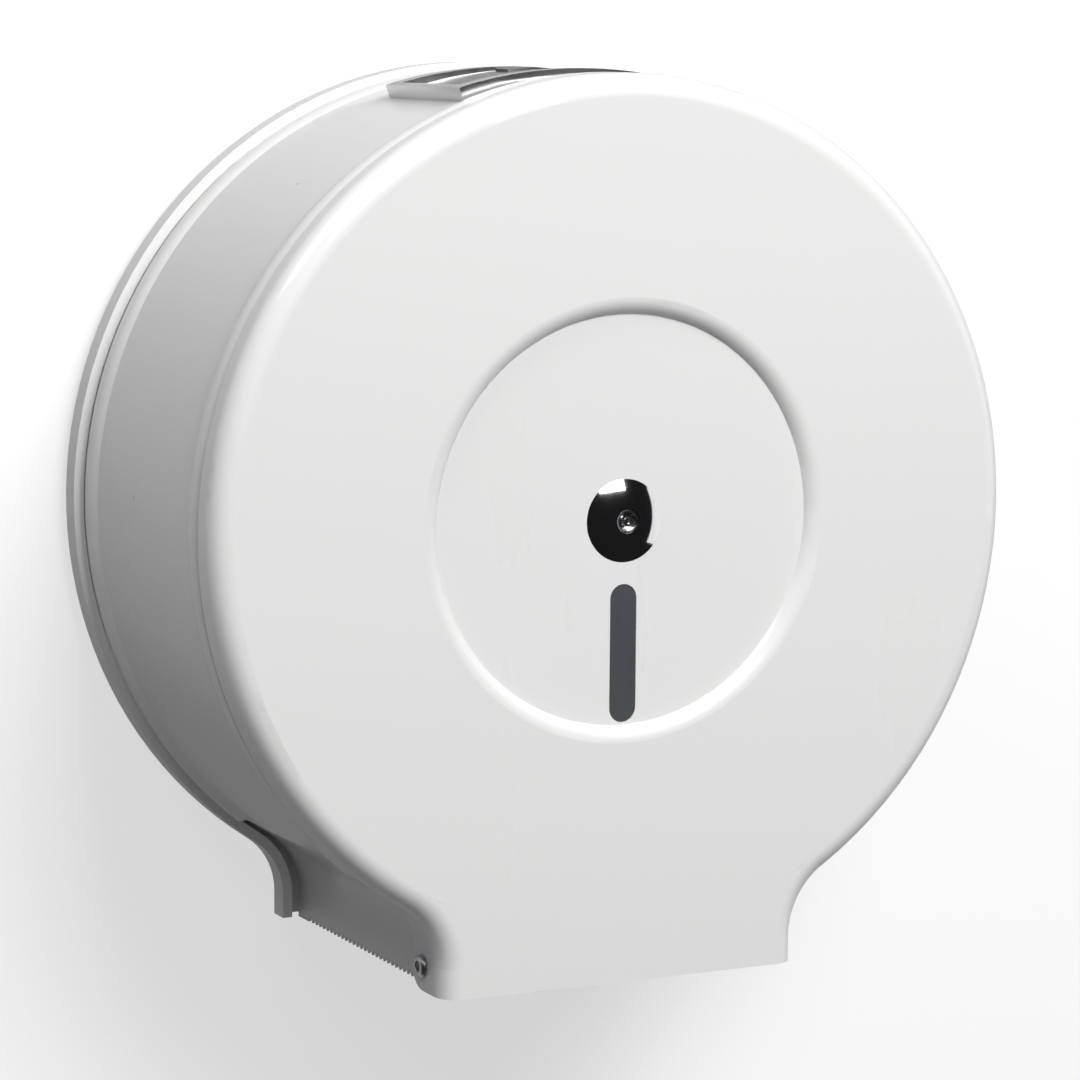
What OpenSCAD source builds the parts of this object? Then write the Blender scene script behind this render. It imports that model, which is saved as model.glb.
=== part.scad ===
// Jumbo toilet roll dispenser: a painted steel drum with a drop-down front cover.
//
// Every piece is drawn in a work frame whose x runs right, y runs up and z runs out from the
// wall. off_wall() stands that frame on the wall, so the origin is on the roll's axis at the
// wall, +X is right, +Z is up and the cover faces -Y.

/* [Drum] */
// Outer diameter of the cover
drum_d = 270; // [255:1:300]
// Depth from the wall to the face of the cover
depth = 120; // [118:1:130]
// Thickness of the painted steel of the cover and the back pan
sheet = 1.0; // [0.8:0.1:1.2]
// Thickness of the rolled drum wall and the neck plates
wall = 0.8; // [0.6:0.1:1.0]
// Gap between the drum wall and the inside of the cover's flange
cover_gap = 0.6; // [0.5:0.1:1]
// Width of the rounded bead along each edge of the drum wall
bead_w = 11; // [9:0.5:12]
// Height of that bead above the drum wall
bead_h = 1.6; // [1:0.1:2]
// Half of the angle left open at the bottom, for the paper
mouth_angle = 39; // [38:0.5:41]

/* [Neck] */
// Half width of the cover's neck
neck_half = 61; // [56:0.5:64]
// Drop from the roll's axis to the lower edge of the cover
neck_drop = 142.5; // [141:0.5:148]
// Radius of the hollow curve from the drum into the neck
neck_curve = 25; // [22:1:28]
// Gap between the cover's ears and the neck plates
ear_gap = 1.7; // [1.6:0.1:2.2]
// Pitch of the teeth that tear the paper
tooth_pitch = 3; // [2:0.25:4]
// Depth of those teeth
tooth_depth = 2; // [1:0.25:2.5]

/* [Cover] */
// Radius of the cover's rounded front edge
edge_r = 7; // [5:0.5:9]
// Depth of the cover's flange, with the edge
flange = 11.5; // [10:0.5:13]
// Outer diameter of the round recess in the face
recess_d = 136; // [132:1:150]
// Depth of that recess
recess_depth = 3; // [2:0.25:4]
// Radius of the roll from the face down into the recess
recess_roll = 6; // [5:0.5:7]
// Width of the folded lip under the cover's lower edge
lip_w = 106; // [80:2:108]
// Depth of that lip
lip_depth = 6; // [4:0.5:7]

/* [Sight window] */
// Width of the slot through which the roll is seen
slot_w = 9; // [8:0.5:11]
// Overall length of that slot
slot_l = 42.6; // [36:0.1:44]
// Distance from the lock's axis down to the top of the slot
slot_top = 19.4; // [18.5:0.1:21]
// Thickness of the clear pane behind the slot
pane = 1.5; // [1:0.1:2]

/* [Back pan] */
// How far the back pan stands out past the drum, all round
back_lip = 2; // [1.8:0.1:3]
// Depth of the back pan's flange
back_flange = 7.5; // [6:0.5:8]
// Half width of the back pan's neck
back_neck_half = 66.5; // [65.5:0.5:68]
// Drop from the roll's axis to the lower edge of the back pan
back_drop = 140; // [138:0.5:142]
// Width of the slots for the wall screws
screw_slot_w = 6.5; // [5:0.5:8]
// Length of those slots
screw_slot_l = 12; // [9:0.5:16]
// Distance between the wall screws across the pan
screw_span_x = 150; // [140:5:160]
// Distance between the wall screws up the pan
screw_span_y = 110; // [100:5:130]

/* [Hinge] */
// Height of the hinge rivets above the cover's lower edge
pin_rise = 7.8; // [7.4:0.1:9]
// Distance from the face of the cover back to the hinge rivets
pin_setback = 15.4; // [14:0.2:17]
// Diameter of the hinge rivets' shanks
pin_d = 4; // [3:0.5:5]
// Diameter of the hinge rivets' heads
pin_head_d = 7; // [6:0.5:7.5]
// Diameter of the rivets that join the sheet metal
rivet_d = 3.2; // [2.4:0.2:4]

/* [Spindle] */
// Diameter of the spindle bracket's foot
foot_d = 84; // [76:2:92]
// Height of the spindle bracket off the wall
foot_h = 22; // [18:1:26]
// Diameter of the steel spindle
spindle_d = 10; // [8:0.5:11]
// Outer diameter of the hub that the roll's core turns with
hub_d = 45; // [38:1:50]
// Length of that hub, from its flange to its front end
hub_l = 71.7; // [66:0.5:73]
// Diameter of the hub's flange
hub_flange_d = 70; // [60:1:80]
// Wall of the moulded hub
hub_wall = 2.4; // [2:0.2:3]

/* [Lock] */
// Diameter of the chromed rosette round the lock
rosette_d = 25.5; // [24:0.5:30]
// Height of the rosette's dome above the recess
rosette_h = 3; // [2:0.25:4]
// Diameter of the lock's threaded barrel
barrel_d = 22; // [21:0.5:23]
// Diameter of the nose of the plug that the key turns
plug_d = 7.5; // [6.5:0.5:8.5]
// Width across the flats of the lock's nut
nut_flats = 28; // [26:0.5:32]
// Length of the T-shaped head on the end of the spindle
tee_l = 14; // [12:0.5:14.5]
// Width of that head
tee_w = 5; // [4:0.5:6]

/* [Top tray] */
// Half of the angle that the chromed tray spans on top of the drum
tray_angle = 19.3; // [15:0.1:22]
// Distance from the wall to the back edge of the tray
tray_back = 41; // [36:1:44]
// Width of the tray, from back to front
tray_w = 54; // [48:1:54]
// Height of the tray's rails above the drum wall
rail_h = 4.4; // [3.6:0.2:5]
// Width of the rail along each edge of the tray
rail_w = 6; // [4:0.5:8]

/* [Hidden] */
$fn = 96;
eps = 0.01;
reach = 400;
seat_gap = 0.3;
run_gap = 0.1;
bite = 0.05;
drum_r = drum_d / 2;
wall_r = drum_r - sheet - cover_gap;
back_r = drum_r + back_lip;
flange_rim = depth - flange;
wall_front = flange_rim + 4.5;
bead_r = (bead_w * bead_w / 4 + bead_h * bead_h) / (2 * bead_h);
rear_bead_z = back_flange + 0.8 + bead_w / 2;
front_bead_z = flange_rim - 1 - bead_w / 2;
cover_side = [neck_half, neck_curve, neck_drop];
return_gap = 0.3;
back_side = [back_neck_half, neck_curve - 3, back_drop];
pin_y = pin_rise - neck_drop;
pin_z = depth - pin_setback;
plate_inset = sheet + ear_gap;
plate_x = neck_half - plate_inset;
plate_front = pin_z + 5.4;
plate_drop = neck_drop - 1;
face_back = depth - recess_depth - sheet;
recess_z = depth - recess_depth;
hub_back = foot_h + 2 + seat_gap;
hub_front = hub_back + hub_l;
clip_z = hub_front + seat_gap;
clip_t = 1;
cup_back = recess_z - 15;
cup_front = cup_back + 8;
cam_t = 2;
tee_z = cup_back + 1;
tee_t = 2;
journal_d = 12;
cup_d = barrel_d - 3.8;
cup_bore = cup_d - 1.6;
pane_l = slot_l + 9;
pane_w = slot_w + 7;
pane_z = face_back - pane;
slot_mid = -slot_top - slot_l / 2;
stud_x = pane_w / 2 + 7;
keeper_t = 0.8;
tray_r = wall_r + rail_h;
tray_floor = 1.4;
tray_screw_angle = tray_angle - 7;
tray_mid = tray_back + tray_w / 2;

// The work frame's x right, y up, z out of the wall becomes X right, Z up, -Y out.
module off_wall() {
    rotate([90, 0, 0]) children();
}

module both_sides() {
    children();
    mirror([1, 0, 0]) children();
}

// A shape drawn with x out from the wall and y up, drawn out across the whole width.
module across(w = reach) {
    rotate([0, -90, 0]) linear_extrude(w, center = true) children();
}

// A ring or disc whose axis is the roll's, from z0 to z1.
module ring(d, bore, z0, z1) {
    difference() {
        translate([0, 0, z0]) cylinder(d = d, h = z1 - z0);
        if (bore > 0) translate([0, 0, z0 - 1]) cylinder(d = bore, h = z1 - z0 + 2);
    }
}

// A rivet or screw head, domed, its flat side down at z = 0.
module domed_head(d, h) {
    r = (d * d / 4 + h * h) / (2 * h);
    rotate_extrude() intersection() {
        translate([0, h - r]) circle(r);
        square([d, h]);
    }
}

// ---------- the drum-and-neck outline ----------
// side = [half width of the neck, radius of the hollow curve, drop to the lower edge]. The
// curve's circle touches the drum's circle and the neck's side, or bites into both by a hair,
// and keeps its centre at every inset.
function curve_centre(r, side, bite = 0) =
    let (x = side[0] + side[1] - bite) [x, -sqrt(pow(r + side[1] - bite, 2) - x * x)];

module neck_outline(r, side, inset, below) {
    c = curve_centre(r, side);
    on_drum = c * (r - inset) / norm(c);
    half = side[0] - inset;
    low = -side[2] - below;
    difference() {
        polygon([[0, 0], on_drum, c, [half, c[1]], [half, low], [-half, low], [-half, c[1]],
            [-c[0], c[1]], [-on_drum[0], on_drum[1]]]);
        for (x = [-c[0], c[0]]) translate([x, c[1]]) circle(side[1] + inset);
    }
}

module outline(r, side, inset = 0, below = 0) {
    circle(r - inset, $fn = 180);
    neck_outline(r, side, inset, below);
}

module plain_block(r, side, h, inset = 0, below = 0) {
    cylinder(r = r - inset, h = h, $fn = 180);
    linear_extrude(h) neck_outline(r, side, inset, below);
}

// A profile from x - w to x and up to h, whose corner at [x, h] is rounded.
module round_corner(x, h, w, r) {
    translate([x - w, 0]) square([w - r, h]);
    translate([x - w, 0]) square([w, h - r]);
    translate([x - r, h - r]) circle(r);
}

// The whole drum and neck as one block with a rounded front edge.
module round_block(r, side, h, edge, inset = 0, below = 0) {
    c = curve_centre(r, side, bite);
    start = atan2(-c[1], -c[0]);
    half = side[0] - inset;
    rotate_extrude($fn = 180) intersection() {
        round_corner(r - inset, h, r - inset + edge, edge);
        square([r, h]);
    }
    rotate([90, 0, 0]) linear_extrude(side[2] + below) {
        round_corner(half, h, half + edge, edge);
        mirror([1, 0]) round_corner(half, h, half + edge, edge);
    }
    both_sides() translate([c[0], c[1], 0]) rotate([0, 0, start])
        rotate_extrude(angle = 180 - start) mirror([1, 0])
            round_corner(-side[1] - inset, h, 30, edge);
}

// ---------- the cover and what it carries ----------
module recess(roll, floor_z) {
    rotate_extrude() difference() {
        translate([0, floor_z]) square([recess_d / 2, depth - floor_z + 1]);
        translate([recess_d / 2, depth - recess_roll]) circle(roll);
    }
}

module slot_shape(gap = 0) {
    end_r = slot_w / 2;
    for (y = [-slot_top - end_r, -slot_top - slot_l + end_r])
        translate([0, y]) circle(end_r - gap);
    translate([gap - end_r, -slot_top - slot_l + end_r])
        square([slot_w - 2 * gap, slot_l - slot_w]);
}

// What is kept of the flange: shallow round the drum, deeper in the two ears of the hinge.
module flange_keep() {
    slope = 31;
    foot = [pin_z - pin_rise * cos(slope), pin_y + pin_rise * sin(slope)];
    top_y = foot[1] + (flange_rim - foot[0]) / tan(slope);
    across() {
        polygon([[flange_rim, reach], [flange_rim, top_y], foot, [pin_z, pin_y],
            [pin_z, -reach], [reach, -reach], [reach, reach]]);
        translate([pin_z, pin_y]) circle(pin_rise);
    }
}

module pin_hole(d) {
    across() translate([pin_z, pin_y]) circle(d = d);
}

module cover_studs() {
    for (side = [-1, 1]) translate([side * stud_x, slot_mid, face_back - 6])
        cylinder(d = 3, h = 6 + sheet / 2);
}

module front_cover() {
    color("white") off_wall() {
        difference() {
            intersection() {
                round_block(drum_r, cover_side, depth, edge_r);
                flange_keep();
            }
            recess(recess_roll, recess_z);
            difference() {
                round_block(drum_r, cover_side, depth - sheet, edge_r - sheet, sheet, 5);
                recess(recess_roll - sheet, face_back);
            }
            translate([0, 0, face_back - 1]) cylinder(d = barrel_d + 2 * run_gap, h = sheet + 2);
            translate([0, 0, face_back - 1]) linear_extrude(sheet + 2) slot_shape();
            pin_hole(pin_d + 2 * run_gap);
        }
        translate([-lip_w / 2, -neck_drop, depth - sheet / 2 - lip_depth])
            cube([lip_w, sheet, lip_depth]);
        cover_studs();
    }
}

module sight_window() {
    color("dimgray") off_wall() {
        translate([-pane_w / 2, slot_mid - pane_l / 2, pane_z]) cube([pane_w, pane_l, pane]);
        translate([0, 0, face_back - eps]) linear_extrude(sheet * 0.8) slot_shape(run_gap);
    }
}

// A sprung strap over the pane, held on the cover's two studs.
module window_keeper() {
    strap_l = 18;
    color("silver") off_wall() translate([0, slot_mid, pane_z - keeper_t]) difference() {
        union() {
            translate([-pane_w / 2 - 1, -pane_l / 2, 0]) cube([pane_w + 2, pane_l, keeper_t]);
            translate([-stud_x, -strap_l / 2, 0]) cube([2 * stud_x, strap_l, keeper_t]);
            for (side = [-1, 1]) translate([side * stud_x, 0, 0])
                cylinder(d = strap_l / 2, h = keeper_t);
        }
        translate([-slot_w / 2 - 1, -slot_l / 2 - 1, -1]) cube([slot_w + 2, slot_l + 2, 4]);
        for (side = [-1, 1]) translate([side * stud_x, 0, -1]) cylinder(d = 3.2, h = 4);
    }
}

module keeper_nuts() {
    color("darkgray") off_wall() for (side = [-1, 1])
        translate([side * stud_x, slot_mid, 0]) ring(7, 3, pane_z - keeper_t - 1, pane_z - keeper_t);
}

module lock_rosette() {
    dome_r = (rosette_d * rosette_d / 4 + rosette_h * rosette_h) / (2 * rosette_h);
    color("gainsboro") off_wall() rotate_extrude() difference() {
        intersection() {
            translate([0, recess_z + rosette_h - dome_r]) circle(dome_r, $fn = 180);
            translate([0, recess_z]) square([rosette_d, rosette_h + 1]);
        }
        square([plug_d / 2 + run_gap, depth + 5]);
    }
}

module lock_barrel() {
    color("silver") off_wall() difference() {
        ring(barrel_d, 0, cup_back + 1, recess_z);
        ring(cup_d + 2 * run_gap, 0, cup_back, cup_front + run_gap);
        ring(journal_d + 2 * run_gap, 0, cup_front, recess_z + 1);
    }
}

module lock_nut() {
    color("darkgray") off_wall() difference() {
        translate([0, 0, face_back - 5]) cylinder(d = nut_flats / cos(30), h = 5, $fn = 6);
        ring(barrel_d, 0, face_back - 6, face_back + 1);
    }
}

// The plug: a nose with a keyway, its journal, and the cup that goes over the spindle's head.
module lock_plug() {
    nose = recess_z + rosette_h - 0.4;
    color("lightgray") off_wall() difference() {
        union() {
            ring(plug_d, 0, recess_z - 1, nose);
            ring(journal_d, 0, cup_front - 1, recess_z - seat_gap);
            ring(cup_d, cup_bore, cup_back, cup_front);
            ring(cup_d, 0, cup_front - 2, cup_front);
        }
        ring(plug_d - 1.8, plug_d - 4.6, nose - 2.5, nose + 1);
        translate([plug_d / 2 - 1.4, -0.6, nose - 2.5]) cube([2, 1.2, 3]);
    }
}

module lock_cam() {
    color("dimgray") off_wall() difference() {
        ring(cup_d, 0, cup_back - cam_t, cup_back);
        translate([-tee_l / 2 - 1, -tee_w / 2 - 0.5, cup_back - cam_t - 1])
            cube([tee_l + 2, tee_w + 1, cam_t + 2]);
    }
}

// ---------- the drum, the neck and the back pan ----------
// The wall's section: straight, with a bead swelling out along each edge.
module wall_section(inset) {
    translate([wall_r - 20 - inset, 0]) square([20, depth]);
    for (z = [rear_bead_z, front_bead_z])
        translate([wall_r + bead_h - bead_r, z]) circle(bead_r - inset);
}

module drum_wall() {
    sweep = 360 - 2 * mouth_angle;
    tabs = 6;
    color("lightsteelblue") off_wall() difference() {
        union() {
            rotate([0, 0, mouth_angle - 90]) rotate_extrude(angle = sweep, $fn = 180)
                intersection() {
                    difference() {
                        wall_section(0);
                        wall_section(wall);
                    }
                    translate([wall_r - 10, sheet]) square([20, wall_front - sheet]);
                }
            for (i = [0:tabs - 1])
                rotate([0, 0, mouth_angle - 94 + (i + 0.5) * sweep / tabs])
                    rotate_extrude(angle = 8) translate([wall_r - 14, sheet]) square([13.6, wall]);
        }
        tray_fixings(rivet_d);
        tab_rivet_places() cylinder(d = rivet_d, h = 10, center = true);
    }
}

// One neck plate's strip, from under the end of the drum wall down to the teeth.
module neck_strip(thick, z0, z1) {
    translate([0, 0, z0]) linear_extrude(z1 - z0) intersection() {
        difference() {
            outline(drum_r, cover_side, plate_inset);
            outline(drum_r, cover_side, plate_inset + thick, 5);
        }
        translate([-reach, -plate_drop]) square([reach, plate_drop - 96]);
    }
}

module tooth_cutter() {
    first = back_flange + 2;
    last = plate_front - 8;
    count = floor((last - first) / tooth_pitch);
    low = -plate_drop;
    across() polygon(concat([[first, low - 5]],
        [for (i = [0:count - 1]) each [[first + i * tooth_pitch, low - eps],
            [first + (i + 0.5) * tooth_pitch, low + tooth_depth]]],
        [[first + count * tooth_pitch, low - eps], [first + count * tooth_pitch, low - 5]]));
}

module neck_plate() {
    color("lightslategray") off_wall() difference() {
        union() {
            neck_strip(wall, sheet, plate_front);
            intersection() {
                neck_strip(14, sheet, sheet + wall);
                translate([-reach, -plate_drop + 4, 0]) cube([reach, 28, reach]);
            }
        }
        tooth_cutter();
        pin_hole(pin_d);
        neck_rivet_places() cylinder(d = rivet_d, h = 10, center = true);
    }
}

module neck_plate_left() {
    neck_plate();
}

module neck_plate_right() {
    mirror([1, 0, 0]) neck_plate();
}

module tab_rivet_places() {
    tabs = 6;
    for (i = [0:tabs - 1]) rotate([0, 0, mouth_angle - 90 + (i + 0.5) * (360 - 2 * mouth_angle) / tabs])
        translate([wall_r - 8.5, 0, 0]) children();
}

module neck_rivet_places() {
    for (side = [-1, 1], rise = [9, 21])
        translate([side * (plate_x - 8), rise - plate_drop, 0]) children();
}

module foot_rivet_places() {
    for (a = [45:90:315]) rotate([0, 0, a]) translate([foot_d / 2 - 6, 0, 0]) children();
}

module back_pan() {
    color("whitesmoke") off_wall() difference() {
        plain_block(back_r, back_side, back_flange);
        translate([0, 0, sheet])
            plain_block(back_r, back_side, back_flange - 2 * sheet, sheet, 5);
        translate([0, 0, sheet])
            plain_block(back_r, back_side, back_flange, back_lip + sheet + return_gap, 5);
        for (x = [-1, 1], y = [-1, 1])
            translate([x * screw_span_x / 2, y * screw_span_y / 2, 0]) wall_slot();
        tab_rivet_places() cylinder(d = rivet_d, h = 10, center = true);
        neck_rivet_places() cylinder(d = rivet_d, h = 10, center = true);
        foot_rivet_places() cylinder(d = rivet_d, h = 10, center = true);
    }
}

module wall_slot() {
    run = (screw_slot_l - screw_slot_w) / 2;
    for (side = [-1, 1]) translate([side * run, 0, -1]) cylinder(d = screw_slot_w, h = 5);
    translate([-run, -screw_slot_w / 2, -1]) cube([2 * run, screw_slot_w, 5]);
}

module tab_rivet(grip) {
    cylinder(d = rivet_d, h = grip + eps);
    translate([0, 0, grip]) domed_head(2 * rivet_d, 1.2);
}

module pan_rivets() {
    color("silver") off_wall() {
        tab_rivet_places() tab_rivet(sheet + wall);
        neck_rivet_places() tab_rivet(sheet + wall);
    }
}

module foot_rivets() {
    color("silver") off_wall() foot_rivet_places() tab_rivet(sheet + 1.5);
}

// ---------- the hinge ----------
module hinge_rivet() {
    inside = plate_x - wall - 1.2;
    outside = neck_half + seat_gap + run_gap;
    translate([0, pin_y, pin_z]) rotate([0, 90, 0]) {
        translate([0, 0, inside]) cylinder(d = pin_d, h = outside - inside + eps);
        translate([0, 0, inside]) ring(pin_head_d - 1, pin_d, 0, 1.2);
        translate([0, 0, outside]) domed_head(pin_head_d, 1.6);
    }
}

module hinge_rivets() {
    color("silver") off_wall() both_sides() hinge_rivet();
}

module hinge_washers() {
    color("ivory") off_wall() both_sides() translate([0, pin_y, pin_z]) rotate([0, 90, 0])
        ring(pin_d + 3, pin_d, plate_x + seat_gap, neck_half - sheet - seat_gap);
}

// ---------- the spindle and its hub ----------
module spindle_bracket() {
    t = 1.5;
    top = spindle_d / 2 + 9;
    knee = foot_d / 2 - 12;
    color("silver") off_wall() difference() {
        rotate_extrude() polygon([[foot_d / 2, sheet], [foot_d / 2, sheet + t], [knee, sheet + t],
            [top, foot_h], [spindle_d / 2, foot_h], [spindle_d / 2, foot_h - t],
            [top - 1.2, foot_h - t], [knee - 1.2, sheet]]);
        foot_rivet_places() cylinder(d = rivet_d, h = 20, center = true);
    }
}

module spindle() {
    neck = clip_z + clip_t + 1.5;
    color("gainsboro") off_wall() difference() {
        union() {
            ring(spindle_d + 8, 0, foot_h - 4, foot_h - 1.5);
            ring(spindle_d, 0, foot_h - 2, neck);
            ring(tee_w, 0, neck - 1, tee_z + tee_t);
            intersection() {
                translate([-tee_l / 2, -tee_w / 2, tee_z]) cube([tee_l, tee_w, tee_t]);
                ring(tee_l, 0, tee_z - 1, tee_z + tee_t + 1);
            }
        }
        ring(spindle_d + 2, spindle_d - 2, clip_z, clip_z + clip_t);
    }
}

module brake_washer() {
    color("ivory") off_wall() ring(spindle_d + 16, spindle_d, foot_h, foot_h + 2);
}

// The moulded hub: a flange, a tube for the roll's core, and a ribbed bearing inside.
module roll_hub() {
    bore = spindle_d + 2 * run_gap;
    boss = spindle_d + 6;
    ribs = 6;
    color("white") off_wall() difference() {
        union() {
            ring(hub_flange_d, boss, hub_back, hub_back + 2.5);
            ring(hub_d, hub_d - 2 * hub_wall, hub_back, hub_front);
            ring(boss, 0, hub_back, hub_front);
            for (i = [0:ribs - 1]) rotate([0, 0, i * 360 / ribs])
                translate([boss / 2 - 1, -0.9, hub_back])
                    cube([(hub_d - boss) / 2 - hub_wall + 2, 1.8, hub_l - 6]);
        }
        ring(bore, 0, hub_back - 1, hub_front + 1);
    }
}

module hub_clip() {
    color("darkgray") off_wall() difference() {
        ring(spindle_d + 6, spindle_d - 2, clip_z, clip_z + clip_t);
        translate([-spindle_d / 2 + 2, 0, clip_z - 1])
            cube([spindle_d - 4, spindle_d, clip_t + 2]);
    }
}

// ---------- the tray on top ----------
module tray_sector(half_angle, r0, r1, z0, z1) {
    rotate([0, 0, 90 - half_angle]) rotate_extrude(angle = 2 * half_angle, $fn = 180)
        translate([r0, z0]) square([r1 - r0, z1 - z0]);
}

module tray_fixings(d) {
    for (side = [-1, 1]) rotate([0, 0, side * tray_screw_angle])
        translate([0, wall_r - 6, tray_mid]) rotate([-90, 0, 0]) cylinder(d = d, h = 6 + tray_floor);
}

module top_tray_frame() {
    end_angle = tray_angle - 1.2;
    color("gainsboro") off_wall() difference() {
        tray_sector(tray_angle, wall_r, tray_r, tray_back, tray_back + tray_w);
        tray_sector(end_angle, wall_r + tray_floor, tray_r + 5, tray_back + rail_w,
            tray_back + tray_w - rail_w);
        tray_fixings(rivet_d);
    }
}

// The tray's floor, with the small tongue lanced up from it.
module top_tray_floor() {
    t = 0.6;
    floor_r = wall_r + tray_floor;
    color("silver") off_wall() {
        tray_sector(tray_angle - 1.2, floor_r, floor_r + t, tray_back + rail_w,
            tray_back + tray_w - rail_w);
        rotate([0, 0, 4]) translate([0, floor_r + t - eps, tray_back + rail_w + 6]) {
            translate([-4, 0, 0]) cube([8, 0.9, 9]);
            translate([-4, 0, 0]) cube([8, 2.2, 0.8]);
        }
    }
}

module tray_screws() {
    color("silver") off_wall() for (side = [-1, 1]) rotate([0, 0, side * tray_screw_angle])
        translate([0, wall_r - wall - run_gap, tray_mid]) rotate([-90, 0, 0]) {
            cylinder(d = rivet_d, h = wall + run_gap + tray_floor);
            mirror([0, 0, 1]) domed_head(2 * rivet_d, 1.6);
        }
}

back_pan();
drum_wall();
neck_plate_left();
neck_plate_right();
pan_rivets();
foot_rivets();
hinge_rivets();
hinge_washers();
spindle_bracket();
spindle();
brake_washer();
hub_clip();
top_tray_frame();
top_tray_floor();
tray_screws();
roll_hub();
front_cover();
sight_window();
window_keeper();
keeper_nuts();
lock_rosette();
lock_barrel();
lock_nut();
lock_plug();
lock_cam();
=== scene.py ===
# %% [markdown]
# # A wall dispenser for a big toilet roll, dressed for its picture
#
# The real object is a drum of white epoxy-coated steel that hangs on a washroom wall. Its front
# cover swings down on two rivets at the neck, a lock in a chromed ring holds it shut, and a small
# steel tray sits on top of the drum. The shapes come from a CAD frame that is already packed; this
# script gives them their finishes, makes finer forms of the rivets, the lock's plug and the tray,
# and sets up the studio.

import math

import bpy
from mathutils import Matrix, Vector


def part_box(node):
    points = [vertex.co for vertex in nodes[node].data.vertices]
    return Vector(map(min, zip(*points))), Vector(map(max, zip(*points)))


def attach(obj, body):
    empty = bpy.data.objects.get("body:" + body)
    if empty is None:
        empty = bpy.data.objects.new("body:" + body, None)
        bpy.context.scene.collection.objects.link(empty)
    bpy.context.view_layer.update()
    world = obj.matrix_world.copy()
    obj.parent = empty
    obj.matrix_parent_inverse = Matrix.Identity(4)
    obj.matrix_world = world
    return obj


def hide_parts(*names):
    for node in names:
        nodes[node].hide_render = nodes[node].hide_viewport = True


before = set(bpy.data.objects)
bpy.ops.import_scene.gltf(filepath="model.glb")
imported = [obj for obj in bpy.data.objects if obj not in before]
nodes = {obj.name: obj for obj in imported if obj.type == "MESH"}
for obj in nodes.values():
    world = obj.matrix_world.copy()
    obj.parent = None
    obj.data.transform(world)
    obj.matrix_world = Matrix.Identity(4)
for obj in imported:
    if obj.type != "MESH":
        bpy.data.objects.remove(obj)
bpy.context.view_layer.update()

# %% [markdown]
# The camera is placed where the photographer stood: a little to the left of the dispenser and a
# little above its axis, about 1.2 m away with a long lens. Numbers that were fitted to the
# photograph are easier to trust than a camera that was nudged by eye, so the place is written as
# an azimuth, an elevation and a distance from a target inside the drum.

# %% Camera
camera_azimuth = math.radians(-26.42)
camera_elevation = math.radians(7.51)
camera_roll = math.radians(0.44)
camera_distance = 1.216
camera_lens = 127.9
camera_target = Vector((-0.00015, -0.060, -0.01283))

back = Vector((math.sin(camera_azimuth) * math.cos(camera_elevation),
               -math.cos(camera_azimuth) * math.cos(camera_elevation),
               math.sin(camera_elevation)))
right = Vector((0, 0, 1)).cross(back).normalized()
up = back.cross(right)
turn = Matrix((right, up, back)).transposed() @ Matrix.Rotation(camera_roll, 3, "Z")

camera_data = bpy.data.cameras.new("studio_camera")
camera_data.sensor_width = 36
camera_data.lens = camera_lens
camera_data.clip_start = 0.05
camera_data.clip_end = 30
camera = bpy.data.objects.new("studio_camera", camera_data)
camera.matrix_world = Matrix.Translation(camera_target + back * camera_distance) @ turn.to_4x4()
bpy.context.scene.collection.objects.link(camera)
bpy.context.scene.camera = camera
print("camera at", [round(v, 3) for v in camera.location])

# %% [markdown]
# Every material below is built from Blender's nodes in code. These few helpers keep that short:
# one adds a node, one joins two sockets, two start a node group and place it in a material, and
# one starts a material. A group is the right home for an effect that several finishes share, such
# as wiping marks, because it is then built in one place.

# %% Helpers for node trees
def add_node(tree, kind, **settings):
    """A new node, with its settings and the values of its unlinked inputs."""
    node = tree.nodes.new(kind)
    for name, value in settings.items():
        if hasattr(node, name):
            setattr(node, name, value)
        else:
            node.inputs[name.replace("_", " ")].default_value = value
    return node


def join(tree, source, target):
    """A link from one socket to another."""
    tree.links.new(source, target)


def start_group(name, inputs, outputs):
    """An empty node group with named sockets, and its input and output nodes."""
    group = bpy.data.node_groups.new(name, "ShaderNodeTree")
    for label, value in inputs:
        socket = group.interface.new_socket(label, in_out="INPUT", socket_type="NodeSocketFloat")
        socket.default_value = value
    for label in outputs:
        group.interface.new_socket(label, in_out="OUTPUT", socket_type="NodeSocketFloat")
    entry = group.nodes.new("NodeGroupInput")
    leave = group.nodes.new("NodeGroupOutput")
    return group, entry, leave


def place_group(tree, group, **values):
    """A copy of a group in a material, with its own values."""
    node = tree.nodes.new("ShaderNodeGroup")
    node.node_tree = group
    for name, value in values.items():
        node.inputs[name.replace("_", " ")].default_value = value
    return node


def new_material(name, **principled):
    """A material with its Principled BSDF's plain values set."""
    material = bpy.data.materials.new(name)
    material.use_nodes = True
    shader = material.node_tree.nodes["Principled BSDF"]
    for label, value in principled.items():
        shader.inputs[label.replace("_", " ")].default_value = value
    return material, material.node_tree, shader


# %% [markdown]
# Powder coat is never quite flat. The melted powder leaves low, soft hills a millimetre or two
# across, which painters call orange peel, and it shows as a faint wobble in reflections. Two
# noises of different size, read in object space so that they stay put, make that height.

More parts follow.
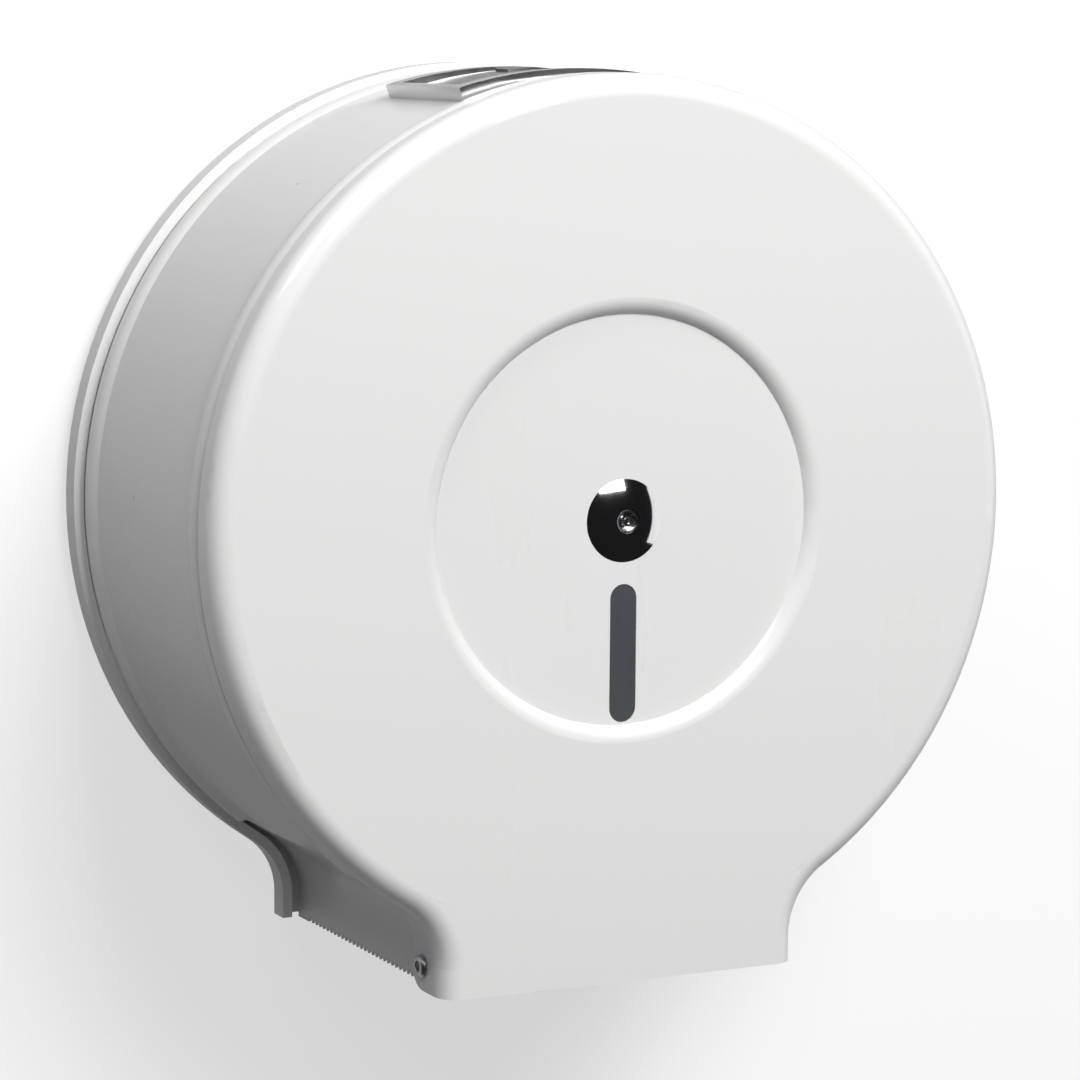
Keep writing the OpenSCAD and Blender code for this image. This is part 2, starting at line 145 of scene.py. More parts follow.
# %% Shared effect: orange peel
orange_peel, entry, leave = start_group("orange peel", [("Size", 520.0)], ["Height"])
where = add_node(orange_peel, "ShaderNodeTexCoord")
hills = add_node(orange_peel, "ShaderNodeTexNoise", Detail=1.5, Roughness=0.4)
ripple = add_node(orange_peel, "ShaderNodeTexNoise", Scale=60.0, Detail=1.0)
blend = add_node(orange_peel, "ShaderNodeMath", operation="MULTIPLY_ADD")
ripple_share = 1.6
blend.inputs[1].default_value = ripple_share
join(orange_peel, where.outputs["Object"], hills.inputs["Vector"])
join(orange_peel, where.outputs["Object"], ripple.inputs["Vector"])
join(orange_peel, entry.outputs["Size"], hills.inputs["Scale"])
join(orange_peel, ripple.outputs["Fac"], blend.inputs[0])
join(orange_peel, hills.outputs["Fac"], blend.inputs[2])
join(orange_peel, blend.outputs[0], leave.inputs["Height"])
print("group:", orange_peel.name)

# %% [markdown]
# A washroom fitting is wiped down every day, so its gloss carries faint cloudy patches and thin
# wiping marks. The mask mixes a broad cloud with a stretched noise, and each finish decides how
# strongly it lets the mask change its roughness.

# %% Shared effect: wiping marks
wiping_marks, entry, leave = start_group("wiping marks", [("Cloud size", 14.0), ("Streak size", 90.0)],
                                         ["Mask"])
where = add_node(wiping_marks, "ShaderNodeTexCoord")
cloud = add_node(wiping_marks, "ShaderNodeTexNoise", Detail=4.0, Roughness=0.55)
tilt = add_node(wiping_marks, "ShaderNodeMapping")
tilt.inputs["Rotation"].default_value = (0.3, 0.5, 0.7)
tilt.inputs["Scale"].default_value = (1.0, 0.25, 0.08)
streak = add_node(wiping_marks, "ShaderNodeTexNoise", Detail=3.0, Roughness=0.5)
both = add_node(wiping_marks, "ShaderNodeMath", operation="MULTIPLY")
spread = add_node(wiping_marks, "ShaderNodeMapRange", From_Min=0.0, From_Max=0.6)
join(wiping_marks, where.outputs["Object"], cloud.inputs["Vector"])
join(wiping_marks, where.outputs["Object"], tilt.inputs["Vector"])
join(wiping_marks, tilt.outputs["Vector"], streak.inputs["Vector"])
join(wiping_marks, entry.outputs["Cloud size"], cloud.inputs["Scale"])
join(wiping_marks, entry.outputs["Streak size"], streak.inputs["Scale"])
join(wiping_marks, cloud.outputs["Fac"], both.inputs[0])
join(wiping_marks, streak.outputs["Fac"], both.inputs[1])
join(wiping_marks, both.outputs[0], spread.inputs["Value"])
join(wiping_marks, spread.outputs["Result"], leave.inputs["Mask"])
print("group:", wiping_marks.name)

# %% [markdown]
# Dust settles on what faces up. The mask takes the upward part of the surface's normal, keeps
# only the flatter places and breaks it up with noise, so the top of the drum turns a touch duller
# than its sides.

# %% Shared effect: settled dust
settled_dust, entry, leave = start_group("settled dust", [("Amount", 0.5), ("Grain", 120.0)], ["Mask"])
surface = add_node(settled_dust, "ShaderNodeNewGeometry")
split = add_node(settled_dust, "ShaderNodeSeparateXYZ")
upward = add_node(settled_dust, "ShaderNodeMapRange", From_Min=0.55, From_Max=1.0)
where = add_node(settled_dust, "ShaderNodeTexCoord")
specks = add_node(settled_dust, "ShaderNodeTexNoise", Detail=6.0, Roughness=0.65)
mottled = add_node(settled_dust, "ShaderNodeMath", operation="MULTIPLY")
amount = add_node(settled_dust, "ShaderNodeMath", operation="MULTIPLY")
join(settled_dust, surface.outputs["Normal"], split.inputs["Vector"])
join(settled_dust, split.outputs["Z"], upward.inputs["Value"])
join(settled_dust, where.outputs["Object"], specks.inputs["Vector"])
join(settled_dust, entry.outputs["Grain"], specks.inputs["Scale"])
join(settled_dust, upward.outputs["Result"], mottled.inputs[0])
join(settled_dust, specks.outputs["Fac"], mottled.inputs[1])
join(settled_dust, mottled.outputs[0], amount.inputs[0])
join(settled_dust, entry.outputs["Amount"], amount.inputs[1])
join(settled_dust, amount.outputs[0], leave.inputs["Mask"])
print("group:", settled_dust.name)

# %% [markdown]
# Rolled and brushed steel has a grain: thousands of hair-fine lines that run one way. A noise
# that is squeezed hard across the lines and stretched along them gives that, and because the
# stretch is an input, the same group serves the tray, the turned spindle and the zinc-plated
# rivets.

# %% Shared effect: brushed grain
brushed_grain, entry, leave = start_group(
    "brushed grain", [("Along X", 8.0), ("Along Y", 900.0), ("Along Z", 900.0)], ["Lines", "Patches"])
where = add_node(brushed_grain, "ShaderNodeTexCoord")
stretch = add_node(brushed_grain, "ShaderNodeCombineXYZ")
scaled = add_node(brushed_grain, "ShaderNodeVectorMath", operation="MULTIPLY")
lines = add_node(brushed_grain, "ShaderNodeTexNoise", Scale=1.0, Detail=3.0, Roughness=0.6)
patches = add_node(brushed_grain, "ShaderNodeTexNoise", Scale=35.0, Detail=3.0)
for axis in "XYZ":
    join(brushed_grain, entry.outputs["Along " + axis], stretch.inputs[axis])
join(brushed_grain, where.outputs["Object"], scaled.inputs[0])
join(brushed_grain, stretch.outputs["Vector"], scaled.inputs[1])
join(brushed_grain, scaled.outputs["Vector"], lines.inputs["Vector"])
join(brushed_grain, where.outputs["Object"], patches.inputs["Vector"])
join(brushed_grain, lines.outputs["Fac"], leave.inputs["Lines"])
join(brushed_grain, patches.outputs["Fac"], leave.inputs["Patches"])
print("group:", brushed_grain.name)


# %% [markdown]
# Most finishes then need the same two steps: a mask moves a value between two limits, and a
# height becomes a bump. Both get a helper of their own.

# %% Helpers for finishes
def range_from(tree, mask, low, high):
    """A value that runs from low to high as the mask runs from 0 to 1."""
    step = add_node(tree, "ShaderNodeMapRange", To_Min=low, To_Max=high)
    join(tree, mask, step.inputs["Value"])
    return step.outputs["Result"]


def bump_from(tree, height, depth, strength=1.0):
    """A bump whose depth is in metres."""
    step = add_node(tree, "ShaderNodeBump", Distance=depth, Strength=strength)
    join(tree, height, step.inputs["Height"])
    return step.outputs["Normal"]


# A Mix node holds sockets for every kind of value. These are the numbers of those for colours.
mix_factor = 0
first_colour = 6
second_colour = 7
mixed_colour = 2


def colour_between(tree, mask, low, high):
    """A colour that runs from low to high with the mask."""
    step = add_node(tree, "ShaderNodeMix", data_type="RGBA")
    step.inputs[first_colour].default_value = (*low, 1)
    step.inputs[second_colour].default_value = (*high, 1)
    join(tree, mask, step.inputs[mix_factor])
    return step.outputs[mixed_colour]


# %% [markdown]
# ## White epoxy
# The drum, pan, neck and cover are sprayed with white epoxy powder and baked. Such a coat is a
# coloured film with a clear, very smooth top, so the shader has a fairly glossy base under a thin
# clear coat. The clear coat gives the crisp lines of light along the cover's rounded edge.

# %% White epoxy
white_epoxy, tree, shader = new_material("white epoxy", Coat_Weight=0.4, Coat_Roughness=0.06,
                                         Specular_IOR_Level=0.4)
peel = place_group(tree, orange_peel, Size=480.0)
marks = place_group(tree, wiping_marks, Cloud_size=9.0, Streak_size=40.0)
dust = place_group(tree, settled_dust, Amount=0.12, Grain=700.0)
clean_white = (0.80, 0.80, 0.795)
dusty_white = (0.70, 0.695, 0.68)
join(tree, colour_between(tree, dust.outputs["Mask"], clean_white, dusty_white),
     shader.inputs["Base Color"])
join(tree, range_from(tree, marks.outputs["Mask"], low=0.26, high=0.32), shader.inputs["Roughness"])
join(tree, bump_from(tree, peel.outputs["Height"], depth=0.00001, strength=0.15),
     shader.inputs["Normal"])
print("finish:", white_epoxy.name)

# %% [markdown]
# The groove between the drum's front bead and the cover's flange lies in deep shade, a black line
# that grows thicker towards the lower left, and the lamps leave it pale. The drum's paint therefore
# carries painted shade in that groove only, from nothing a little above half height to black low on
# the drum. It is painted shade, not a cast shadow, and near the neck the flange hides most of it, so
# it stays thin there.
# This is paint, not shadow, and near the neck the flange hides most of it, so it stays thin there.

# %% The drum's paint, with painted shade in the groove beside the cover
drum_epoxy_with_painted_shade = white_epoxy.copy()
drum_epoxy_with_painted_shade.name = "white epoxy of the drum with painted shade"
tree = drum_epoxy_with_painted_shade.node_tree
shader = next(node for node in tree.nodes if node.type == "BSDF_PRINCIPLED")
clean_paint = shader.inputs["Base Color"].links[0].from_socket
place = add_node(tree, "ShaderNodeTexCoord")
axes = add_node(tree, "ShaderNodeSeparateXYZ")
join(tree, place.outputs["Object"], axes.inputs["Vector"])

# Each row is an axis, where the painted shade is nothing and where it is full, in metres. Along Y
# the first row begins on the front of the bead and the second ends at the cover's flange. Along Z
# the painted shade grows downwards, from just above the spindle.
painted_shade_limits = (("Y", -0.1050, -0.1066), ("Y", -0.1088, -0.1085), ("Z", 0.03, -0.07))
painted_shade_black = (0.012, 0.012, 0.012)

painted_shade_mask = None
for axis, none_at, full_at in painted_shade_limits:
    band = add_node(tree, "ShaderNodeMapRange", From_Min=none_at, From_Max=full_at)
    join(tree, axes.outputs[axis], band.inputs["Value"])
    if painted_shade_mask is None:
        painted_shade_mask = band.outputs["Result"]
    else:
        both = add_node(tree, "ShaderNodeMath", operation="MULTIPLY")
        join(tree, painted_shade_mask, both.inputs[0])
        join(tree, band.outputs["Result"], both.inputs[1])
        painted_shade_mask = both.outputs["Value"]
# Painted shade: the drum's paint is mixed towards black where the groove mask is full.
painted_shade_mix = add_node(tree, "ShaderNodeMix", data_type="RGBA")
painted_shade_mix.inputs[second_colour].default_value = (*painted_shade_black, 1)
join(tree, painted_shade_mask, painted_shade_mix.inputs[mix_factor])
join(tree, clean_paint, painted_shade_mix.inputs[first_colour])
join(tree, painted_shade_mix.outputs[mixed_colour], shader.inputs["Base Color"])
print("finish:", drum_epoxy_with_painted_shade.name)

# %% [markdown]
# ## Chrome
# The rosette round the lock is plated. Chrome is a mirror with a faintly blue grey colour; wiping
# marks are all that keeps it from looking like a computer's idea of metal.

# %% Chrome
chrome, tree, shader = new_material("chrome plate", Metallic=1.0)
marks = place_group(tree, wiping_marks, Cloud_size=60.0, Streak_size=300.0)
clean_chrome = (0.80, 0.81, 0.82)
wiped_chrome = (0.72, 0.73, 0.745)
join(tree, colour_between(tree, marks.outputs["Mask"], clean_chrome, wiped_chrome),
     shader.inputs["Base Color"])
join(tree, range_from(tree, marks.outputs["Mask"], low=0.04, high=0.12), shader.inputs["Roughness"])
print("finish:", chrome.name)

# %% [markdown]
# ## Stainless and zinc-plated steel
# The tray's floor is dark stainless sheet with a long grain, and its rim is brighter, with a satin
# shine. The spindle and the lock's plug are turned, so their grain runs round them in fine rings.
# Rivets, nuts and brackets are zinc plated: softer, patchy and a little blue. They share a recipe,
# so one function makes all four, with the grain's direction as its choice.

# %% Stainless and zinc
def grained_steel(name, light, dark, stretch, roughness, depth):
    """A metal finish with a brushed grain, squeezed by stretch along X, Y and Z."""
    material, tree, shader = new_material(name, Metallic=1.0)
    along_x, along_y, along_z = stretch
    grain = place_group(tree, brushed_grain, Along_X=along_x, Along_Y=along_y, Along_Z=along_z)
    join(tree, colour_between(tree, grain.outputs["Patches"], dark, light), shader.inputs["Base Color"])
    join(tree, range_from(tree, grain.outputs["Lines"], *roughness), shader.inputs["Roughness"])
    join(tree, bump_from(tree, grain.outputs["Lines"], depth), shader.inputs["Normal"])
    print("finish:", name)
    return material


stainless = grained_steel(
    "stainless sheet", light=(0.30, 0.305, 0.30), dark=(0.22, 0.225, 0.22),
    stretch=(12.0, 1500.0, 900.0), roughness=(0.28, 0.42), depth=0.00001)
satin_steel = grained_steel(
    "satin pressed steel", light=(0.62, 0.625, 0.62), dark=(0.50, 0.505, 0.50),
    stretch=(25.0, 700.0, 700.0), roughness=(0.16, 0.26), depth=0.000004)
turned_steel = grained_steel(
    "turned stainless", light=(0.66, 0.67, 0.68), dark=(0.56, 0.57, 0.58),
    stretch=(60.0, 2500.0, 60.0), roughness=(0.16, 0.3), depth=0.000008)
zinc_steel = grained_steel(
    "zinc plate", light=(0.58, 0.60, 0.62), dark=(0.42, 0.44, 0.47),
    stretch=(300.0, 300.0, 300.0), roughness=(0.26, 0.46), depth=0.000012)

# %% [markdown]
# The lock's barrel is a cut thread from end to end. Modelled turns would cost thousands of faces
# on a piece that shows only with the cover open, so a triangle wave along the barrel's axis makes
# the ridges as a bump, and the same wave darkens the oil that stays in their roots. A wave texture
# of scale 1 repeats every 0.3142 m, so that length over the pitch gives the scale.

# %% Threaded steel
thread_pitch = 0.001
wave_repeat = 0.3142
oily_root = (0.22, 0.22, 0.23)
bright_crest = (0.58, 0.60, 0.62)
threaded_steel, tree, shader = new_material("threaded zinc plate", Metallic=1.0, Roughness=0.35)
where = add_node(tree, "ShaderNodeTexCoord")
ridges = add_node(tree, "ShaderNodeTexWave", wave_type="BANDS", bands_direction="Y",
                  wave_profile="TRI", Scale=wave_repeat / thread_pitch)
join(tree, where.outputs["Object"], ridges.inputs["Vector"])
join(tree, colour_between(tree, ridges.outputs["Fac"], oily_root, bright_crest),
     shader.inputs["Base Color"])
join(tree, bump_from(tree, ridges.outputs["Fac"], depth=0.0005), shader.inputs["Normal"])
print("finish:", threaded_steel.name)

# %% [markdown]
# ## Plastics
# The hub is moulded ABS with a satin spark-eroded skin, the washers are natural nylon, which lets
# a little light in, and the sight window is smoked acrylic: dark, but with a hard gloss.

# %% Plastics
hub_plastic, tree, shader = new_material("moulded hub plastic")
skin = place_group(tree, orange_peel, Size=1800.0)
marks = place_group(tree, wiping_marks, Cloud_size=30.0, Streak_size=160.0)
clean_plastic = (0.74, 0.74, 0.72)
handled_plastic = (0.66, 0.66, 0.63)
join(tree, colour_between(tree, marks.outputs["Mask"], clean_plastic, handled_plastic),
     shader.inputs["Base Color"])
join(tree, range_from(tree, marks.outputs["Mask"], low=0.4, high=0.52), shader.inputs["Roughness"])
join(tree, bump_from(tree, skin.outputs["Height"], depth=0.00002, strength=0.6),
     shader.inputs["Normal"])

nylon, tree, shader = new_material("natural nylon", Roughness=0.4, Subsurface_Weight=0.2,
                                   Subsurface_Scale=0.002)
skin = place_group(tree, orange_peel, Size=900.0)
dull_nylon = (0.70, 0.66, 0.57)
pale_nylon = (0.78, 0.75, 0.67)
join(tree, colour_between(tree, skin.outputs["Height"], dull_nylon, pale_nylon),
     shader.inputs["Base Color"])
join(tree, bump_from(tree, skin.outputs["Height"], depth=0.00001), shader.inputs["Normal"])

window_smoke, tree, shader = new_material("smoked acrylic", Coat_Weight=0.3)
marks = place_group(tree, wiping_marks, Cloud_size=50.0, Streak_size=220.0)
clean_smoke = (0.066, 0.073, 0.080)
hazy_smoke = (0.082, 0.090, 0.096)
join(tree, colour_between(tree, marks.outputs["Mask"], clean_smoke, hazy_smoke),
     shader.inputs["Base Color"])
join(tree, range_from(tree, marks.outputs["Mask"], low=0.1, high=0.22), shader.inputs["Roughness"])
print("finishes:", hub_plastic.name, nylon.name, window_smoke.name)

# %% [markdown]
# Each CAD node now gets its finish. The node keeps its mesh and its place; only the material in
# its slot changes. The rivets, the plug and the tray are dressed too, although further down finer
# pieces with finishes of their own take their place.

# %% Dress the CAD nodes
finish_of = {
    "back_pan": white_epoxy, "drum_wall": drum_epoxy_with_painted_shade, "front_cover": white_epoxy,
    "neck_plate_left": white_epoxy, "neck_plate_right": white_epoxy, "pan_rivets": zinc_steel,
    "foot_rivets": zinc_steel, "hinge_rivets": zinc_steel, "hinge_washers": nylon,
    "spindle_bracket": zinc_steel, "spindle": turned_steel, "brake_washer": nylon,
    "hub_clip": zinc_steel, "top_tray_frame": chrome, "top_tray_floor": stainless,
    "tray_screws": zinc_steel, "roll_hub": hub_plastic, "sight_window": window_smoke,
    "window_keeper": zinc_steel, "keeper_nuts": zinc_steel, "lock_rosette": chrome,
    "lock_barrel": threaded_steel, "lock_nut": zinc_steel, "lock_plug": chrome,
    "lock_cam": zinc_steel,
}
for name, material in finish_of.items():
    mesh = nodes[name].data
    mesh.materials.clear()
    mesh.materials.append(material)
print("dressed:", len(finish_of), "of", len(nodes))


# %% [markdown]
# ## Rivets and the lock's plug
# The small round pieces are turned or headed in real life, so they're modelled the way a lathe
# works: a disc is drawn out along its axis, step by step, and its rim is made wider or narrower
# at each step. A list of radius and height pairs, in millimetres, then says the whole shape.

# %% Helper for turned pieces
def deselect_all():
    """Leaves nothing selected, because an operator acts on all that is."""
    bpy.ops.object.select_all(action="DESELECT")


def turned_piece(name, steps, material, sides):
    """A round piece along Z, drawn out from a disc. steps are (radius, height) in mm."""
    radius, height = steps[0]
    deselect_all()
    bpy.ops.mesh.primitive_circle_add(vertices=sides, radius=radius / 1000, fill_type="NGON",
                                      location=(0, 0, height / 1000))
    piece = bpy.context.object
    piece.name = name
    bpy.ops.object.transform_apply(location=True, rotation=True, scale=True)
    bpy.ops.object.mode_set(mode="EDIT")
    bpy.ops.mesh.select_mode(type="FACE")
    bpy.ops.mesh.select_all(action="SELECT")
    for next_radius, next_height in steps[1:]:
        rise = (next_height - height) / 1000
        ratio = next_radius / radius
        bpy.ops.mesh.extrude_region_move(TRANSFORM_OT_translate={"value": (0, 0, rise)})
        bpy.ops.transform.resize(value=(ratio, ratio, 1), center_override=(0, 0, 0))
        radius, height = next_radius, next_height
    bpy.ops.mesh.select_all(action="SELECT")
    bpy.ops.mesh.normals_make_consistent(inside=False)
    bpy.ops.object.mode_set(mode="OBJECT")
    bpy.ops.object.shade_smooth_by_angle(angle=math.radians(35))
    piece.data.materials.append(material)
    return piece


def put_in_place(piece, turn, place):
    """Turns and moves a piece, then writes that place into its mesh."""
    deselect_all()
    piece.select_set(True)
    bpy.context.view_layer.objects.active = piece
    piece.rotation_euler = turn
    piece.location = place
    bpy.ops.object.transform_apply(location=True, rotation=True, scale=True)


def own_copy(piece, name):
    """A copy with its own mesh."""
    twin = piece.copy()
    twin.data = piece.data.copy()
    twin.name = name
    bpy.context.scene.collection.objects.link(twin)
    return twin


outward = (math.pi / 2, 0, 0)

# %% [markdown]
# The cover swings on two tubular rivets through its ears. Their outer ends are flared, which is
# why the photograph shows a bright ring round a dark hole. The inner end is turned over behind
# the neck plate. The rivet stands where the CAD rivet stands, so its place and its outer end come
# from that node's box.

# %% Hinge rivets
# The lengths are in millimetres from the middle of the dispenser; the place is in metres.
rivet_low, rivet_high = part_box("hinge_rivets")
head_height = 1.6
head_top = rivet_high[0] * 1000
head_seat = head_top - head_height
inner_end = 56.3
pin_place = (0, (rivet_low[1] + rivet_high[1]) / 2, (rivet_low[2] + rivet_high[2]) / 2)
hinge_rivet = turned_piece("hinge_rivet_right", [
    (2.5, inner_end), (3.0, inner_end + 0.3), (3.0, inner_end + 0.9), (2.0, inner_end + 1.2),
    (2.0, head_seat), (3.2, head_seat), (3.5, head_seat + 0.2), (3.4, head_seat + 0.7),
    (3.0, head_top - 0.35), (2.5, head_top - 0.05), (2.1, head_top), (1.75, head_top - 0.15),
    (1.5, head_top - 0.6), (1.4, head_top - 2.6), (0.2, head_top - 2.7)], zinc_steel, 64)
hinge_rivet_twin = own_copy(hinge_rivet, "hinge_rivet_left")
put_in_place(hinge_rivet, (0, math.pi / 2, 0), pin_place)
put_in_place(hinge_rivet_twin, (0, -math.pi / 2, 0), pin_place)
for piece in (hinge_rivet, hinge_rivet_twin):
    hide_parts("hinge_rivets")
    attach(piece, "root")
print("hinge rivets:", [round(v * 1000, 1) for v in hinge_rivet.dimensions])

# %% [markdown]
# Fourteen blind rivets go through the pan: six hold the drum wall's tabs, four the neck plates
# and four the spindle's bracket. A blind rivet keeps the broken end of its steel pin in a small
# pit in the middle of its head. One is modelled for each stack of sheets and copied to its places.

# %% Blind rivets
def blind_rivet(name, grip):
    """A blind rivet whose head sits on a stack of sheets that thick, in mm."""
    return turned_piece(name, [
        (1.6, 0.0), (1.6, grip), (2.9, grip), (3.2, grip + 0.12), (3.1, grip + 0.35),
        (2.6, grip + 0.8), (1.9, grip + 1.12), (1.35, grip + 1.2), (1.1, grip + 1.1),
        (1.0, grip + 0.55), (0.85, grip + 0.45), (0.7, grip + 0.62), (0.2, grip + 0.62)],
        zinc_steel, 32)


# The grips are in millimetres, the circles and places in metres, the mouth's half in degrees.
tab_grip = 1.8
foot_grip = 2.5
tab_circle = 0.1249
mouth_half = 39
tabs = 6
tab_turns = [math.radians(mouth_half - 90 + (i + 0.5) * (360 - 2 * mouth_half) / tabs)
             for i in range(tabs)]
pan_places = [(tab_circle * math.cos(a), 0, tab_circle * math.sin(a)) for a in tab_turns]
neck_rivet_x = 0.0503
neck_rivet_heights = (-0.1325, -0.1205)
pan_places += [(side * neck_rivet_x, 0, z) for side in (-1, 1) for z in neck_rivet_heights]
foot_circle = 0.036
foot_turns = [math.radians(a) for a in range(45, 360, 90)]
foot_places = [(foot_circle * math.cos(a), 0, foot_circle * math.sin(a)) for a in foot_turns]

for node, title, grip, places in (("pan_rivets", "pan_rivet", tab_grip, pan_places),
                                  ("foot_rivets", "foot_rivet", foot_grip, foot_places)):
    model = blind_rivet(title + "_1", grip)
    rivets = [model] + [own_copy(model, f"{title}_{i + 1}") for i in range(1, len(places))]
    for rivet, place in zip(rivets, places):
        put_in_place(rivet, outward, place)
        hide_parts(node)
        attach(rivet, "root")
    print(title + "s:", len(rivets))

# %% [markdown]
# The plug is what the key turns: a nose with a round groove and a pin in the middle, a journal
# in the barrel, and behind them a cup that reaches over the spindle's head. It starts at the
# floor of the cup and is drawn out over the cup's rim to the nose. A small block then cuts the
# notch that guides the key.

# %% Lock plug
# All lengths are in millimetres, measured forwards from the wall.
plug_low, plug_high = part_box("lock_plug")
nose = -plug_low[1] * 1000
cup_back = -plug_high[1] * 1000
cup_radius = plug_high[0] * 1000
cup_bore = cup_radius - 0.8
cup_floor = cup_back + 6
cup_front = cup_back + 8
journal = 6.0
shoulder = nose - 2.9
plug = turned_piece("lock_plug_turned", [
    (0.2, cup_floor), (cup_bore, cup_floor), (cup_bore, cup_back + 0.2),
    (cup_radius - 0.6, cup_back), (cup_radius - 0.2, cup_back), (cup_radius, cup_back + 0.2),
    (cup_radius, cup_front - 0.2), (cup_radius - 0.2, cup_front), (journal, cup_front),
    (journal, shoulder), (3.75, shoulder), (3.75, nose - 0.5), (3.62, nose - 0.2), (3.4, nose),
    (3.1, nose - 0.02), (2.9, nose - 0.2), (2.85, nose - 2.5), (1.45, nose - 2.5),
    (1.45, nose - 0.25), (1.25, nose - 0.05), (0.7, nose - 0.02), (0.6, nose - 0.5),
    (0.2, nose - 0.5)], turned_steel, 96)

# The notch is in metres.
notch_radius = 0.0033
notch_size = (0.0016, 0.0012, 0.0036)
deselect_all()
bpy.ops.mesh.primitive_cube_add(size=1, location=(notch_radius, 0, nose / 1000))
key_notch = bpy.context.object
key_notch.scale = notch_size
bpy.ops.object.transform_apply(location=True, rotation=True, scale=True)
cut = plug.modifiers.new("cut the notch", "BOOLEAN")
cut.object = key_notch
cut.operation = "DIFFERENCE"
bpy.context.view_layer.objects.active = plug
bpy.ops.object.modifier_apply(modifier=cut.name)
bpy.data.objects.remove(key_notch)
put_in_place(plug, outward, (0, 0, 0))
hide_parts("lock_plug")
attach(plug, "lock")
print("plug:", [round(v * 1000, 1) for v in plug.dimensions])

# %% [markdown]
# ## The tray
# The pressed tray on top of the drum lies a little flatter than the drum: its rim stands proud at
# the left end and sinks towards the middle. The CAD rim has one height all the way, so a copy of
# it is welded and cut with a wide, shifted disc, which gives the flatter line, and its edges are
# rounded as a press leaves them. The floor and its lanced tongue are first lowered a little, and
# then get the same cut.

# %% Tray
flat_radius = 0.150
flat_depth = 0.08
flat_centre = (-0.0042, -0.068, -0.014)
rim_edge = 0.0009
plate_drop = 0.0003
plate_edge = 0.0001

merge_distance = 0.000002
flat_angle = math.radians(0.2)
sharp_angle = math.radians(40)


def flattened_copy(node, name, lower, edge, material):
    """A welded copy of a CAD node, sunk by lower, cut with the flat disc, its edges rounded."""
    piece = own_copy(nodes[node], name)
    piece.parent = None
    piece.matrix_world = Matrix.Identity(4)
    deselect_all()
    bpy.ops.mesh.primitive_cylinder_add(vertices=720, radius=flat_radius, depth=flat_depth,
                                        location=flat_centre, rotation=outward)
    flat_disc = bpy.context.object
    deselect_all()
    piece.select_set(True)
    bpy.context.view_layer.objects.active = piece
    bpy.ops.object.mode_set(mode="EDIT")
    bpy.ops.mesh.select_all(action="SELECT")
    bpy.ops.mesh.remove_doubles(threshold=merge_distance)
    bpy.ops.mesh.dissolve_limited(angle_limit=flat_angle)
    bpy.ops.transform.translate(value=(0, 0, -lower))
    bpy.ops.object.mode_set(mode="OBJECT")
    cut = piece.modifiers.new("cut flatter", "BOOLEAN")
    cut.object = flat_disc
    cut.operation = "INTERSECT"
    bpy.ops.object.modifier_apply(modifier=cut.name)
    bpy.data.objects.remove(flat_disc)
    rounding = piece.modifiers.new("round the edges", "BEVEL")
    rounding.width = edge
    rounding.segments = 4
    rounding.limit_method = "ANGLE"
    rounding.angle_limit = sharp_angle
    bpy.ops.object.modifier_apply(modifier=rounding.name)
    bpy.ops.object.shade_smooth_by_angle(angle=math.radians(30))
    piece.data.materials.clear()
    piece.data.materials.append(material)
    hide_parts(node)
    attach(piece, "root")
    print(name + ":", [round(v * 1000, 1) for v in piece.dimensions])
    return piece


tray_rim = flattened_copy("top_tray_frame", "top_tray_rim", 0, rim_edge, satin_steel)
tray_plate = flattened_copy("top_tray_floor", "top_tray_plate", plate_drop, plate_edge, stainless)

# %% [markdown]
# ## Softened edges
# No pressed or sawn edge is perfectly sharp, and a thin line of light along it is what makes a
# sheet look like metal. The CAD meshes are loose triangles, so each piece below gets three
# modifiers: one welds the triangles together, one rounds what is left sharp, and one weighs the
# shading by the size of the faces, so that the flat parts stay flat. The pan's wide back first
# has its flat triangles merged, because long thin ones between its rivet holes show as dark
# slivers. The other pieces don't get that step: with it on all of them, the lock's cam touched
# the spindle.

# %% Soften the CAD edges
edge_radius = {
    "back_pan": 0.0003,
    "neck_plate_left": 0.0002, "neck_plate_right": 0.0002, "spindle_bracket": 0.0003,
    "window_keeper": 0.00015, "sight_window": 0.0003, "lock_cam": 0.0003, "lock_nut": 0.0004,
    "brake_washer": 0.0003, "hub_clip": 0.00015, "hinge_washers": 0.00015,
    "roll_hub": 0.0003, "spindle": 0.0003, "keeper_nuts": 0.00015,
}
for name, radius in edge_radius.items():
    weld = nodes[name].modifiers.new("weld the triangles", "WELD")
    weld.merge_threshold = merge_distance
    if name == "back_pan":
        merging = nodes[name].modifiers.new("merge the flat triangles", "DECIMATE")
        merging.decimate_type = "DISSOLVE"
        merging.angle_limit = flat_angle
    rounding = nodes[name].modifiers.new("round the edges", "BEVEL")
    rounding.width = radius
    rounding.segments = 3
    rounding.limit_method = "ANGLE"
    rounding.angle_limit = sharp_angle
    shading = nodes[name].modifiers.new("weigh the shading", "WEIGHTED_NORMAL")
    shading.weight = 80
print("softened:", len(edge_radius))

# %% [markdown]
# ## The studio
# The photograph is a cut-out on white with a soft shadow close round its outline. A wall stands
# just behind the pan and a floor lies far below it. Both are stage pieces and no part of the
# object. The wall is shaded as white paper, so it keeps the shadow, but it throws no light back
# on the drum, because in the photograph the drum's left side falls off to a dark grey. Seen from
# behind, the wall and the floor are clear, so that the back of the dispenser can be looked at.

# %% Wall and floor
stage_size = 8
wall_place = (0, 0.004, 0)
floor_place = (0, -3.9, -1.0)
glow_seen = 0.6
glow_in_mirrors = 0.15

